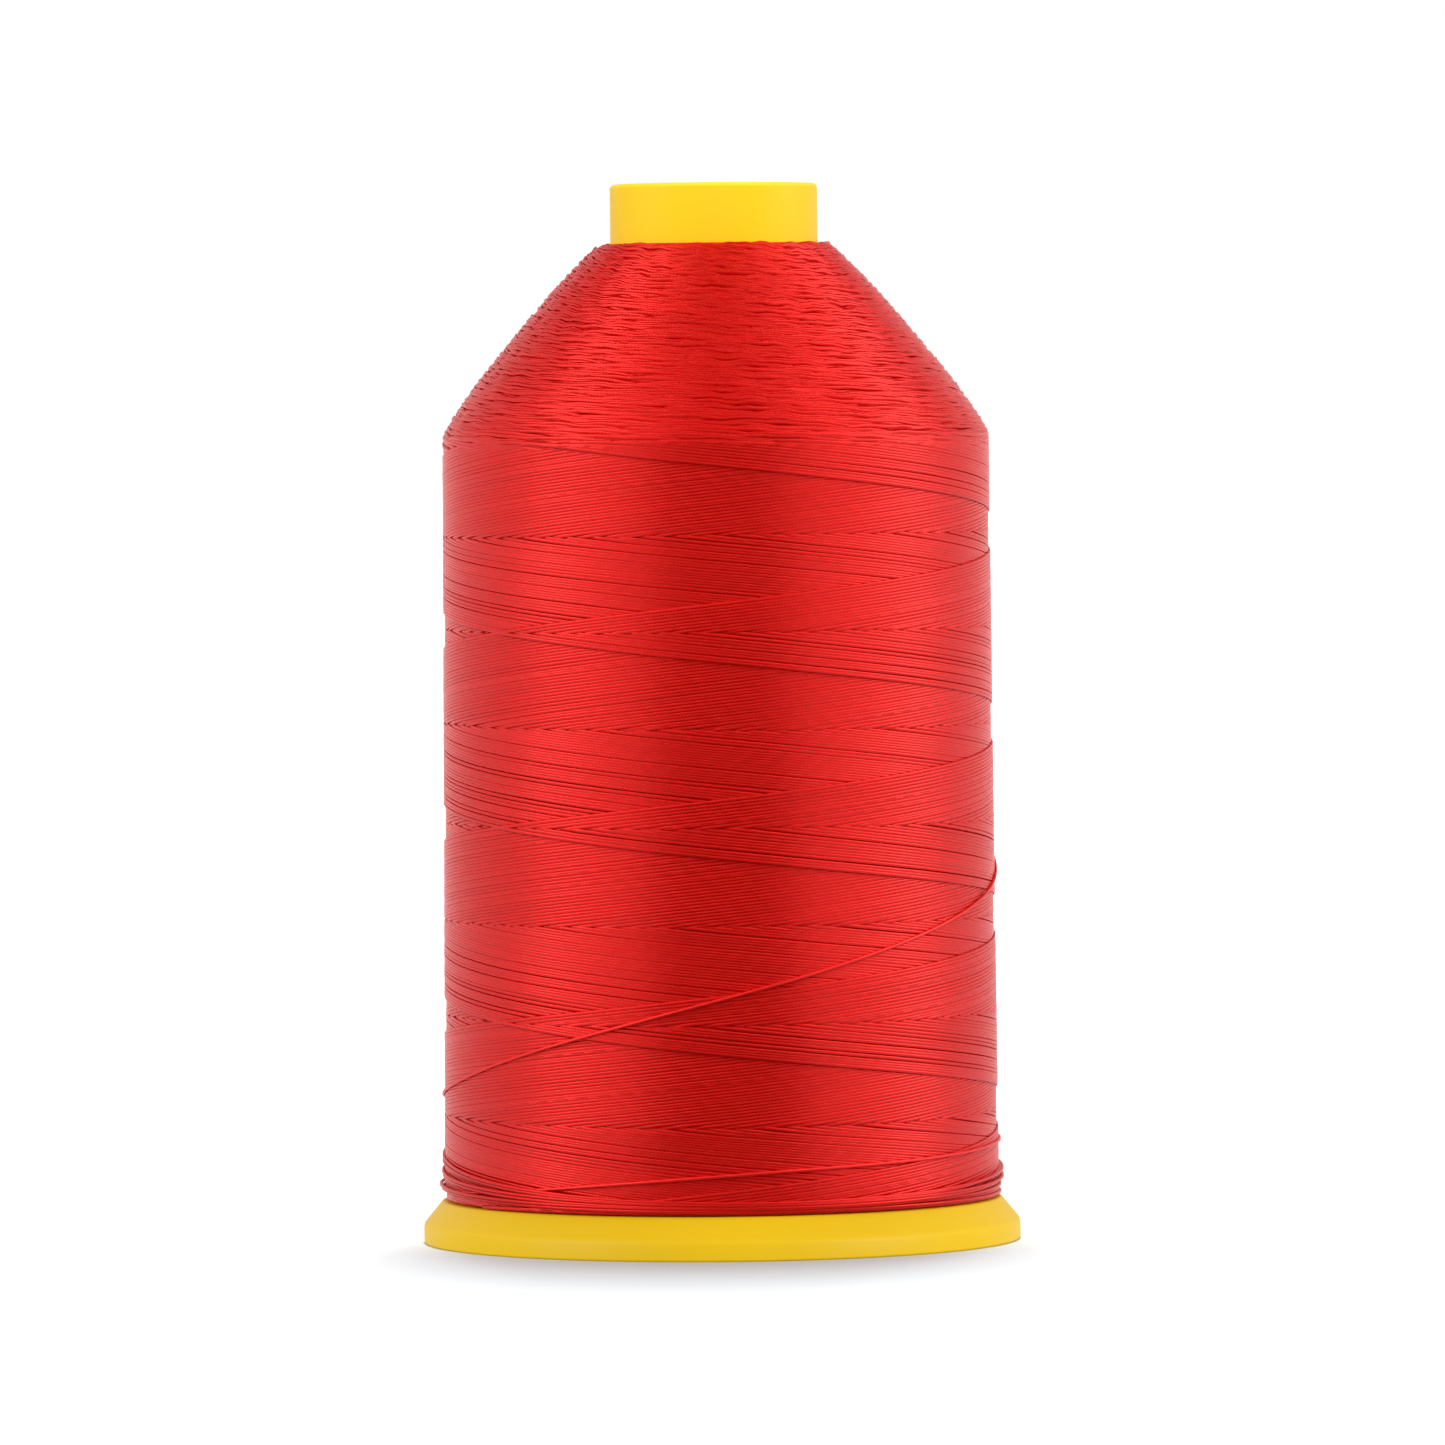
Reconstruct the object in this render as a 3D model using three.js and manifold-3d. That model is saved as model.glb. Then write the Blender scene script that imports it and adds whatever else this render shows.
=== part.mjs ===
// A spool of sewing thread: a moulded plastic tube that stands in the socket of a bevelled
// foot, with a tall package of bonded thread around it. The package's body is nearly
// straight and its top is a crowned cone, out of which the neck of the tube rises.
// Millimetres, +Z up. The origin is the centre of the foot's underside.
// An azimuth is counted from the front (-Y) towards the right (+X).

import * as THREE from "three";
import { mergeVertices } from "three/addons/utils/BufferGeometryUtils.js";
import Module from "manifold-3d";

const wasm = await Module();
wasm.setup();

// ---- Driving dimensions ----

// Tube
const SPOOL_HEIGHT = 104;
const TUBE_RADIUS = 10.2;
const TUBE_WALL = 1.6;
const TUBE_EDGE_ROUNDING = 0.45;

// Foot
const FOOT_RADIUS = 29.4;
const FOOT_HEIGHT = 4.2;
const FOOT_WALL = 1.4;
const RIM_HEIGHT = 1.9;
const BEVEL_INSET = 1.9;
const RIM_ROUNDING = 0.25;
const SOCKET_WALL = 1.7;
const SOCKET_CLEARANCE = 0.1;
const LEDGE_THICKNESS = 1.2;
const UNDERSIDE_RECESS = 0.6; // how far the socket and the ribs stay above the ground
const RIB_COUNT = 6;
const RIB_THICKNESS = 1.2;

// Thread package, from the foot up
const BODY_RADIUS_LOW = 27.3;
const BODY_RADIUS_HIGH = 26.85;
const SHOULDER_HEIGHT = 79.4;
const NECK_LENGTH = 5.6; // how much of the tube shows over the thread
const CONE_TOP_STEP = 0.8; // how far the thread stands out from the tube at its top
const CONE_CROWN = 1; // how far the cone bulges past a straight one
const PACKAGE_CLEARANCE = 0.3;

// Outer layer of the winding
const THREAD_DIAMETER = 0.3;
const THREAD_GAP = 0.42; // between strands that cross
const THREAD_CORE_GAP = 0.12; // where the winding comes nearest to the core
const WINDING_LOOPS = 21;
const WINDING_START_DROP = 5; // below the top of the package, where the layer over it ends
const WINDING_START_DEGREES = 30; // azimuth of its end at the foot
const END_BEND = 0.6; // radius in which a strand turns square to what it ends at
const END_GAP = 0.3; // left between a strand's end and what it ends at

// The loose end leaves the winding behind the right side, drops steeply across the front and
// runs on round the back to the foot: azimuths in degrees, and heights above the foot.
const LOOSE_START_DEGREES = 150;
const LOOSE_START_TURN = 10; // it comes out over this turn of the winding, from the foot up
const LOOSE_PASS = [
  [90, 32.3],
  [-90, 9.6],
  [-270, 5.2],
  [-390, 1.3],
];

// Facets
const STEPS_PER_LOOP = 24;
const THREAD_SIDES = 6;
const PLASTIC_SEGMENTS = 72;
const PACKAGE_SEGMENTS = 48;
const ROUNDING_STEPS = 4;
const CONE_STEPS = 12;
const CONE_TIP_STEPS = 4;

// ---- Dimensions that follow ----

const BORE_RADIUS = TUBE_RADIUS - TUBE_WALL;
const LEDGE_TOP = UNDERSIDE_RECESS + LEDGE_THICKNESS;
const SOCKET_RADIUS = TUBE_RADIUS + SOCKET_CLEARANCE;
const SOCKET_OUTER_RADIUS = SOCKET_RADIUS + SOCKET_WALL;
const PLATE_BOTTOM = FOOT_HEIGHT - FOOT_WALL;
const PACKAGE_TOP = SPOOL_HEIGHT - NECK_LENGTH;
const PACKAGE_INNER_RADIUS = TUBE_RADIUS + PACKAGE_CLEARANCE;
const CONE_TOP_RADIUS = TUBE_RADIUS + CONE_TOP_STEP;

// Depths under the package's real surface: of the thread's centre line in the winding, of
// the loose end that crosses over it, and of the plain core under it.
const WINDING_DEPTH = THREAD_DIAMETER / 2;
const LOOSE_DEPTH = WINDING_DEPTH - THREAD_DIAMETER - THREAD_GAP;
const CHORD_SAG = BODY_RADIUS_LOW * (1 - Math.cos(Math.PI / STEPS_PER_LOOP));
const CORE_DEPTH = THREAD_DIAMETER + CHORD_SAG + THREAD_CORE_GAP;
const CONE_SLOPE = (BODY_RADIUS_HIGH - CONE_TOP_RADIUS) / (PACKAGE_TOP - SHOULDER_HEIGHT);
const CONE_STRETCH = Math.hypot(1, CONE_SLOPE); // length along the cone for each unit of height

// The winding runs between its two ends, which reach to the foot and to the step in the cone.
const END_REACH = END_BEND + THREAD_DIAMETER + END_GAP;
const WINDING_BOTTOM = FOOT_HEIGHT + END_REACH;
const WINDING_TOP = PACKAGE_TOP - WINDING_START_DROP - END_REACH / CONE_STRETCH;
const WINDING_PITCH = (WINDING_TOP - WINDING_BOTTOM) / WINDING_LOOPS;

const PLASTIC = new THREE.MeshStandardMaterial({ color: 0xf7cf2c, roughness: 0.32, metalness: 0 });
const THREAD = new THREE.MeshStandardMaterial({ color: 0xd3262a, roughness: 0.55, metalness: 0 });
const PACKAGE = new THREE.MeshStandardMaterial({ color: 0xb01a20, roughness: 0.7, metalness: 0 });

// ---- Shared shapes ----

// A quarter round as outline points. It starts at so many quarter turns from outwards.
function quarterRound(centreRadius, centreHeight, rounding, fromQuarter) {
  const points = [];
  for (let step = 0; step <= ROUNDING_STEPS; step++) {
    const angle = (Math.PI / 2) * (fromQuarter + step / ROUNDING_STEPS);
    points.push([
      centreRadius + rounding * Math.cos(angle),
      centreHeight + rounding * Math.sin(angle),
    ]);
  }
  return points;
}

// Turns an outline of [radius, height] points, counter-clockwise, about the spool's axis.
function turned(outline, segments) {
  const points = [...outline, outline[0]].map(([radius, height]) => new THREE.Vector2(radius, height));
  const geometry = new THREE.LatheGeometry(points, segments);
  geometry.rotateX(Math.PI / 2);
  return welded(geometry);
}

function welded(geometry) {
  geometry.deleteAttribute("normal");
  geometry.deleteAttribute("uv");
  return mergeVertices(geometry);
}

function toSolid(geometry) {
  return new wasm.Manifold(
    new wasm.Mesh({
      numProp: 3,
      vertProperties: new Float32Array(geometry.attributes.position.array),
      triVerts: new Uint32Array(geometry.index.array),
    }),
  );
}

function fromSolid(solid) {
  const mesh = solid.getMesh();
  const geometry = new THREE.BufferGeometry();
  geometry.setAttribute("position", new THREE.BufferAttribute(mesh.vertProperties, 3));
  geometry.setIndex(new THREE.BufferAttribute(mesh.triVerts, 1));
  return geometry;
}

function namedMesh(name, geometry, material) {
  geometry.computeVertexNormals();
  const mesh = new THREE.Mesh(geometry, material);
  mesh.name = name;
  return mesh;
}

// ---- Tube ----

function barrel() {
  const topRounding = SPOOL_HEIGHT - TUBE_EDGE_ROUNDING;
  const outline = [
    [BORE_RADIUS, LEDGE_TOP],
    [TUBE_RADIUS, LEDGE_TOP],
    ...quarterRound(TUBE_RADIUS - TUBE_EDGE_ROUNDING, topRounding, TUBE_EDGE_ROUNDING, 0),
    ...quarterRound(BORE_RADIUS + TUBE_EDGE_ROUNDING, topRounding, TUBE_EDGE_ROUNDING, 1),
  ];
  return namedMesh("barrel", turned(outline, PLASTIC_SEGMENTS), PLASTIC);
}

// ---- Foot ----

// The hollow under the foot, as outline points from the rim to the plate's underside. It
// follows the rim and the bevel at a distance of the wall's thickness.
function hollowOutline(wall) {
  const bevelHeight = FOOT_HEIGHT - RIM_HEIGHT;
  const bevelLength = Math.hypot(BEVEL_INSET, bevelHeight);
  const rimTop = RIM_HEIGHT - (wall * (bevelLength - bevelHeight)) / BEVEL_INSET;
  const ceiling = FOOT_HEIGHT - wall;
  const rimRadius = FOOT_RADIUS - wall;
  return [
    [rimRadius - ((ceiling - rimTop) * BEVEL_INSET) / bevelHeight, ceiling],
    [rimRadius, rimTop],
  ];
}

function footShell() {
  const outline = [
    [BORE_RADIUS, UNDERSIDE_RECESS],
    [SOCKET_OUTER_RADIUS, UNDERSIDE_RECESS],
    [SOCKET_OUTER_RADIUS, PLATE_BOTTOM],
    ...hollowOutline(FOOT_WALL),
    [FOOT_RADIUS - FOOT_WALL, 0],
    ...quarterRound(FOOT_RADIUS - RIM_ROUNDING, RIM_ROUNDING, RIM_ROUNDING, 3),
    [FOOT_RADIUS, RIM_HEIGHT],
    [FOOT_RADIUS - BEVEL_INSET, FOOT_HEIGHT],
    [SOCKET_RADIUS, FOOT_HEIGHT],
    [SOCKET_RADIUS, LEDGE_TOP],
    [BORE_RADIUS, LEDGE_TOP],
  ];
  return turned(outline, PLASTIC_SEGMENTS);
}

// A rib from the socket to the rim, rooted halfway into the walls round it.
function footRib(index) {
  const rootWall = FOOT_WALL / 2;
  const outline = [
    [SOCKET_OUTER_RADIUS - SOCKET_WALL / 2, UNDERSIDE_RECESS],
    [FOOT_RADIUS - rootWall, UNDERSIDE_RECESS],
    ...hollowOutline(rootWall).reverse(),
    [SOCKET_OUTER_RADIUS - SOCKET_WALL / 2, FOOT_HEIGHT - rootWall],
  ];
  const shape = new THREE.Shape(outline.map(([radius, height]) => new THREE.Vector2(radius, height)));
  const rib = new THREE.ExtrudeGeometry(shape, { depth: RIB_THICKNESS, bevelEnabled: false });
  rib.translate(0, 0, -RIB_THICKNESS / 2);
  rib.rotateX(Math.PI / 2);
  rib.rotateZ((2 * Math.PI * index) / RIB_COUNT);
  return welded(rib);
}

function footFlange() {
  let foot = toSolid(footShell());
  for (let index = 0; index < RIB_COUNT; index++) {
    foot = foot.add(toSolid(footRib(index)));
  }
  return namedMesh("foot_flange", fromSolid(foot), PLASTIC);
}

// ---- Thread package ----

// Radius of the package at a height, at a depth under its surface.
function packageRadius(height, depth) {
  const bodyShare = (height - FOOT_HEIGHT) / (SHOULDER_HEIGHT - FOOT_HEIGHT);
  const body = THREE.MathUtils.lerp(BODY_RADIUS_LOW, BODY_RADIUS_HIGH, bodyShare);
  const coneShare = (height - SHOULDER_HEIGHT) / (PACKAGE_TOP - SHOULDER_HEIGHT);
  const crownShare = THREE.MathUtils.clamp(coneShare, 0, 1);
  const crown = CONE_CROWN * (1 - Math.abs(2 * crownShare - 1) ** 3);
  const cone = THREE.MathUtils.lerp(BODY_RADIUS_HIGH, CONE_TOP_RADIUS, coneShare) + crown;
  return Math.min(body - depth, cone - depth * CONE_STRETCH);
}

// The core lies under the outer layer, up to a step square to the cone. Above the step the
// package has its real surface.
function threadPackage() {
  const stepTop = PACKAGE_TOP - WINDING_START_DROP;
  const stepBottom = stepTop - (CORE_DEPTH * CONE_SLOPE) / CONE_STRETCH;
  const outline = [
    [PACKAGE_INNER_RADIUS, FOOT_HEIGHT],
    [packageRadius(FOOT_HEIGHT, CORE_DEPTH), FOOT_HEIGHT],
  ];
  for (let step = 0; step <= CONE_STEPS; step++) {
    const height = THREE.MathUtils.lerp(SHOULDER_HEIGHT - CORE_DEPTH, stepBottom, step / CONE_STEPS);
    outline.push([packageRadius(height, CORE_DEPTH), height]);
  }
  for (let step = 0; step <= CONE_TIP_STEPS; step++) {
    const height = THREE.MathUtils.lerp(stepTop, PACKAGE_TOP, step / CONE_TIP_STEPS);
    outline.push([packageRadius(height, 0), height]);
  }
  outline.push([PACKAGE_INNER_RADIUS, PACKAGE_TOP]);
  return namedMesh("thread_package", turned(outline, PACKAGE_SEGMENTS), PACKAGE);
}

// ---- Strands of thread ----

function onPackage(degrees, height, depth) {
  const azimuth = THREE.MathUtils.degToRad(degrees);
  const radius = packageRadius(height, depth);
  return new THREE.Vector3(radius * Math.sin(azimuth), -radius * Math.cos(azimuth), height);
}

function towardsAxis(point) {
  return new THREE.Vector3(-point.x, -point.y, 0).normalize();
}

// The points past an end of a route, where the strand turns into a direction, in which it
// then runs for a straight length.
function endBend(point, beforeIt, into, straight) {
  const along = point.clone().sub(beforeIt);
  along.addScaledVector(into, -along.dot(into)).normalize();
  const centre = point.clone().addScaledVector(into, END_BEND);
  const points = [];
  for (let step = 1; step <= ROUNDING_STEPS; step++) {
    const angle = (Math.PI / 2) * (step / ROUNDING_STEPS);
    points.push(
      centre
        .clone()
        .addScaledVector(along, END_BEND * Math.sin(angle))
        .addScaledVector(into, -END_BEND * Math.cos(angle)),
    );
  }
  points.push(points.at(-1).clone().addScaledVector(into, straight));
  return points;
}

// ---- Outer winding ----

function windingHeight(turns) {
  return WINDING_BOTTOM + WINDING_PITCH * turns;
}

// An even winding from the foot up. It ends at the step in the cone, from under which the
// real thread comes, and at the foot, which catches it.
function windingRoute() {
  const route = [];
  const steps = WINDING_LOOPS * STEPS_PER_LOOP;
  for (let step = 0; step <= steps; step++) {
    const turns = step / STEPS_PER_LOOP;
    const degrees = WINDING_START_DEGREES + 360 * turns;
    route.push(onPackage(degrees, windingHeight(turns), WINDING_DEPTH));
  }
  const [foot, top] = [route[0], route.at(-1)];
  const down = new THREE.Vector3(0, 0, -1);
  const upCone = towardsAxis(top).multiplyScalar(CONE_SLOPE).add(new THREE.Vector3(0, 0, 1)).normalize();
  const footEnd = endBend(foot, route[1], down, THREAD_DIAMETER);
  const topEnd = endBend(top, route.at(-2), upCone, THREAD_DIAMETER);
  return [...footEnd.reverse(), ...route, ...topEnd];
}

// ---- Loose end ----

// A smooth curve through [degrees, height] knots in falling order of degrees.
function smoothHeights(knots) {
  const slopes = knots.map((knot, index) => {
    const before = knots[Math.max(index - 1, 0)];
    const after = knots[Math.min(index + 1, knots.length - 1)];
    return (after[1] - before[1]) / (after[0] - before[0]);
  });
  return (degrees) => {
    const index = Math.max(0, knots.findLastIndex((knot) => knot[0] > degrees));
    const [from, to] = [knots[index], knots[index + 1]];
    const span = to[0] - from[0];
    const share = (degrees - from[0]) / span;
    const rest = 1 - share;
    const level = from[1] * rest ** 2 * (1 + 2 * share) + to[1] * share ** 2 * (1 + 2 * rest);
    return level + span * share * rest * (slopes[index] * rest - slopes[index + 1] * share);
  };
}

function looseRoute() {
  const turnBelow = LOOSE_START_TURN + (LOOSE_START_DEGREES - WINDING_START_DEGREES) / 360;
  const knots = [
    [LOOSE_START_DEGREES, windingHeight(turnBelow + 0.5)],
    ...LOOSE_PASS.map(([degrees, rise]) => [degrees, FOOT_HEIGHT + rise]),
  ];
  const heightAt = smoothHeights(knots);
  const lastDegrees = knots.at(-1)[0];
  const route = [];
  const stepDegrees = 360 / STEPS_PER_LOOP;
  for (let degrees = LOOSE_START_DEGREES; degrees >= lastDegrees; degrees -= stepDegrees) {
    route.push(onPackage(degrees, heightAt(degrees), LOOSE_DEPTH));
  }
  const [first, last] = [route[0], route.at(-1)];
  const straight = CORE_DEPTH - LOOSE_DEPTH - END_BEND - END_GAP;
  const firstEnd = endBend(first, route[1], towardsAxis(first), straight);
  const lastEnd = endBend(last, route.at(-2), towardsAxis(last), straight);
  return [...firstEnd.reverse(), ...route, ...lastEnd];
}

// A closed tube along a route, its rings carried along without twist.
function tube(route, diameter, sides) {
  const positions = [];
  const triangles = [];
  const tangents = route.map((point, index) => {
    const before = route[Math.max(index - 1, 0)];
    const after = route[Math.min(index + 1, route.length - 1)];
    return after.clone().sub(before).normalize();
  });
  const startsUpright = Math.abs(tangents[0].z) > 0.5;
  const normal = startsUpright ? new THREE.Vector3(1, 0, 0) : new THREE.Vector3(0, 0, 1);
  route.forEach((point, index) => {
    const tangent = tangents[index];
    normal.addScaledVector(tangent, -normal.dot(tangent)).normalize();
    const side = new THREE.Vector3().crossVectors(tangent, normal);
    for (let corner = 0; corner < sides; corner++) {
      const angle = (2 * Math.PI * corner) / sides;
      const vertex = point
        .clone()
        .addScaledVector(normal, (Math.cos(angle) * diameter) / 2)
        .addScaledVector(side, (Math.sin(angle) * diameter) / 2);
      positions.push(vertex.x, vertex.y, vertex.z);
    }
  });
  for (let ring = 0; ring < route.length - 1; ring++) {
    for (let corner = 0; corner < sides; corner++) {
      const next = (corner + 1) % sides;
      const [a, b] = [ring * sides + corner, ring * sides + next];
      triangles.push(a, b, b + sides, a, b + sides, a + sides);
    }
  }
  const lastRing = (route.length - 1) * sides;
  for (let corner = 1; corner < sides - 1; corner++) {
    triangles.push(0, corner + 1, corner);
    triangles.push(lastRing, lastRing + corner, lastRing + corner + 1);
  }
  const geometry = new THREE.BufferGeometry();
  geometry.setAttribute("position", new THREE.Float32BufferAttribute(positions, 3));
  geometry.setIndex(triangles);
  return geometry;
}

function finePoints(route) {
  const PARTS = 6;
  const points = [];
  for (let index = 0; index < route.length - 1; index++) {
    for (let part = 0; part < PARTS; part++) {
      points.push(route[index].clone().lerp(route[index + 1], part / PARTS));
    }
  }
  return points;
}

// The least gap between two strands, or from a strand to stretches of itself that are over
// a quarter of a loop further on.
function leastGap(route, other = route) {
  const points = finePoints(route);
  const others = finePoints(other);
  const quarterLoop = Math.round((points.length / route.length) * (STEPS_PER_LOOP / 4));
  let least = Infinity;
  points.forEach((point, index) => {
    for (let next = other === route ? index + quarterLoop : 0; next < others.length; next++) {
      least = Math.min(least, point.distanceToSquared(others[next]));
    }
  });
  return (Math.sqrt(least) - THREAD_DIAMETER).toFixed(3);
}

// ---- The spool ----

const winding = windingRoute();
const looseEnd = looseRoute();
console.log(`least gap of the winding to itself: ${leastGap(winding)} mm`);
console.log(`least gap of the loose end to itself: ${leastGap(looseEnd)} mm`);
console.log(`least gap between the two: ${leastGap(winding, looseEnd)} mm`);

const spool = new THREE.Group();
spool.add(
  footFlange(),
  barrel(),
  threadPackage(),
  namedMesh("thread_outer_winding", tube(winding, THREAD_DIAMETER, THREAD_SIDES), THREAD),
  namedMesh("thread_loose_end", tube(looseEnd, THREAD_DIAMETER, THREAD_SIDES), THREAD),
);

export default spool;
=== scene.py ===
"""A spool of red sewing thread on a yellow plastic spool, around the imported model.

Lengths are in millimetres until a mesh is made, and metres in Blender. An azimuth is counted
from the front (-Y) towards the right (+X), in radians.
"""

import math

import bpy
import numpy as np
from mathutils import Matrix, Vector


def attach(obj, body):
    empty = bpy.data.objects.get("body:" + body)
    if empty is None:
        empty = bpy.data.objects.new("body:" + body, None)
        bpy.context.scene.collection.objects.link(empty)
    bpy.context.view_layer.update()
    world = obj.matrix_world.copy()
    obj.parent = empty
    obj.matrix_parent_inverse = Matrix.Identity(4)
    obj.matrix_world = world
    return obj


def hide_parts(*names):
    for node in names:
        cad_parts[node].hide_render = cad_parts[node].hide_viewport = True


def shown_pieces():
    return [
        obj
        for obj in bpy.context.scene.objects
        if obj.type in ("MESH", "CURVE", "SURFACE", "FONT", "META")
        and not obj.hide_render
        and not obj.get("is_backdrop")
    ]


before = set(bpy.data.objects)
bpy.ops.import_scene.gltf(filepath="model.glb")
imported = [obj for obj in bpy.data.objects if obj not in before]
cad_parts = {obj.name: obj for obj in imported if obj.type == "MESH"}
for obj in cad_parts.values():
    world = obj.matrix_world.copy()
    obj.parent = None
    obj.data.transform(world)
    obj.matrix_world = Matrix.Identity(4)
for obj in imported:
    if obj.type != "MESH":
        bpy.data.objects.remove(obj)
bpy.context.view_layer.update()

MM = 0.001
TAU = 2 * math.pi

# ---- The spool's dimensions, as in the CAD model ----

SPOOL_HEIGHT = 104.0
TUBE_RADIUS = 10.2
BORE_RADIUS = 8.6
TUBE_EDGE_ROUNDING = 0.45
FOOT_RADIUS = 29.4
FOOT_HEIGHT = 4.2
FOOT_WALL = 1.4
RIM_HEIGHT = 1.9
BEVEL_INSET = 1.9
SOCKET_RADIUS = 10.3
SOCKET_OUTER_RADIUS = 12.0
LEDGE_TOP = 1.8
UNDERSIDE_RECESS = 0.6
RIB_COUNT = 6
RIB_THICKNESS = 1.2
BODY_RADIUS_LOW = 27.3
BODY_RADIUS_HIGH = 26.85
SHOULDER_HEIGHT = 79.4
PACKAGE_TOP = 98.4
CONE_TOP_RADIUS = 11.0
CONE_CROWN = 1.0
CONE_STRETCH = math.hypot(1, (BODY_RADIUS_HIGH - CONE_TOP_RADIUS) / (PACKAGE_TOP - SHOULDER_HEIGHT))

# ---- The winding ----

THREAD = 0.3  # room that a thread takes
TUBE_WIDTH, TUBE_DEPTH = 0.42, 0.21  # of its tube, which lies flattened against its neighbours
LOOSE_WIDTH, LOOSE_DEPTH = 0.36, 0.32  # of a thread that lies by itself
LOOSE_REST = 0.2  # of its depth that its middle is above what carries it
LAYER = 0.17  # that a thread lying over another is further out
LEAD = 18.9  # height that a thread gains in a turn
RISE = LEAD / TAU  # and in a radian
STROKES = 63  # rising and as many falling strokes that cover the body
UP_START = 57.65  # height of the newest rising thread at the front
DOWN_START = 63.05  # and of the newest falling one
CROSSING = (UP_START + DOWN_START) / 2
CROSSING_PITCH = LEAD / 2
CROSSINGS_ABOVE, CROSSINGS_BELOW = 2, 6  # pitches from there up and down to the turning points
TOP_TURN = CROSSING + CROSSINGS_ABOVE * CROSSING_PITCH
FOOT_TURN = CROSSING - CROSSINGS_BELOW * CROSSING_PITCH
STROKE_TURNS = (CROSSINGS_ABOVE + CROSSINGS_BELOW) / 2
TURN_STEP = TAU * THREAD / LEAD  # between neighbouring turning points
TOP_AZIMUTH = math.radians(-51.43)  # of the newest turning point at the top


def lerp(a, b, share):
    return a + (b - a) * share


def package_radius(height, depth=0.0):
    """Radius of the thread package at a height, at a depth under its surface."""
    body_share = (height - FOOT_HEIGHT) / (SHOULDER_HEIGHT - FOOT_HEIGHT)
    body = lerp(BODY_RADIUS_LOW, BODY_RADIUS_HIGH, body_share)
    cone_share = (height - SHOULDER_HEIGHT) / (PACKAGE_TOP - SHOULDER_HEIGHT)
    crown = CONE_CROWN * (1 - np.abs(2 * np.clip(cone_share, 0, 1) - 1) ** 3)
    cone = lerp(BODY_RADIUS_HIGH, CONE_TOP_RADIUS, cone_share) + crown
    return np.minimum(body - depth, cone - depth * CONE_STRETCH)


# ---- Materials ----

PLY_COUNT = 3
PLY_LAY = 1.05  # length in which a ply goes once round the thread
PLY_GROOVE_SHADE = 0.2  # of the tone by which the grooves between the plies are painted darker: painted shade
SHADE_LENGTH, SHADE_SHARE = 23, 0.6  # of the slow changes along it
GRAIN_LENGTH, GRAIN_SHARE = 0.9, 0.25  # and of the fine ones


def new_material(name):
    material = bpy.data.materials.new(name)
    material.use_nodes = True
    tree = material.node_tree
    return material, tree, tree.nodes["Principled BSDF"]


def add_node(tree, kind, **values):
    """A node of that kind. A value goes to the input of its name, or to the node's own setting."""
    node = tree.nodes.new(kind)
    for key, value in values.items():
        if key in node.inputs:
            node.inputs[key].default_value = value
        else:
            setattr(node, key, value)
    return node


def set_inputs(node, values):
    for name, value in values.items():
        node.inputs[name].default_value = value


def link_all(tree, *pairs):
    for source, target in pairs:
        tree.links.new(source, target)


def colour_ramp(tree, source, stops):
    """A ramp between two stops, each of a place and a colour."""
    ramp = add_node(tree, "ShaderNodeValToRGB")
    for element, (place, colour) in zip(ramp.color_ramp.elements, stops):
        element.position = place
        element.color = (*colour, 1)
    tree.links.new(source, ramp.inputs["Fac"])
    return ramp.outputs["Color"]


def plastic_material():
    material, tree, shader = new_material("yellow_plastic")
    place = add_node(tree, "ShaderNodeTexCoord").outputs["Object"]
    flow = add_node(tree, "ShaderNodeTexNoise", Scale=60.0, Detail=2.0)
    tree.links.new(place, flow.inputs["Vector"])
    colour = colour_ramp(tree, flow.outputs["Fac"], [
        (0.3, (0.93, 0.575, 0.004)),
        (0.7, (0.95, 0.600, 0.006)),
    ])
    tree.links.new(colour, shader.inputs["Base Color"])
    rough = add_node(tree, "ShaderNodeMapRange")
    set_inputs(rough, {"To Min": 0.45, "To Max": 0.55})
    tree.links.new(flow.outputs["Fac"], rough.inputs["Value"])
    tree.links.new(rough.outputs["Result"], shader.inputs["Roughness"])
    grain = add_node(tree, "ShaderNodeTexNoise", Scale=900.0, Detail=3.0)
    tree.links.new(place, grain.inputs["Vector"])
    bump = add_node(tree, "ShaderNodeBump", Strength=0.12, Distance=0.0001)
    tree.links.new(grain.outputs["Fac"], bump.inputs["Height"])
    tree.links.new(bump.outputs["Normal"], shader.inputs["Normal"])
    shader.inputs["Specular IOR Level"].default_value = 0.25
    return material


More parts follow.
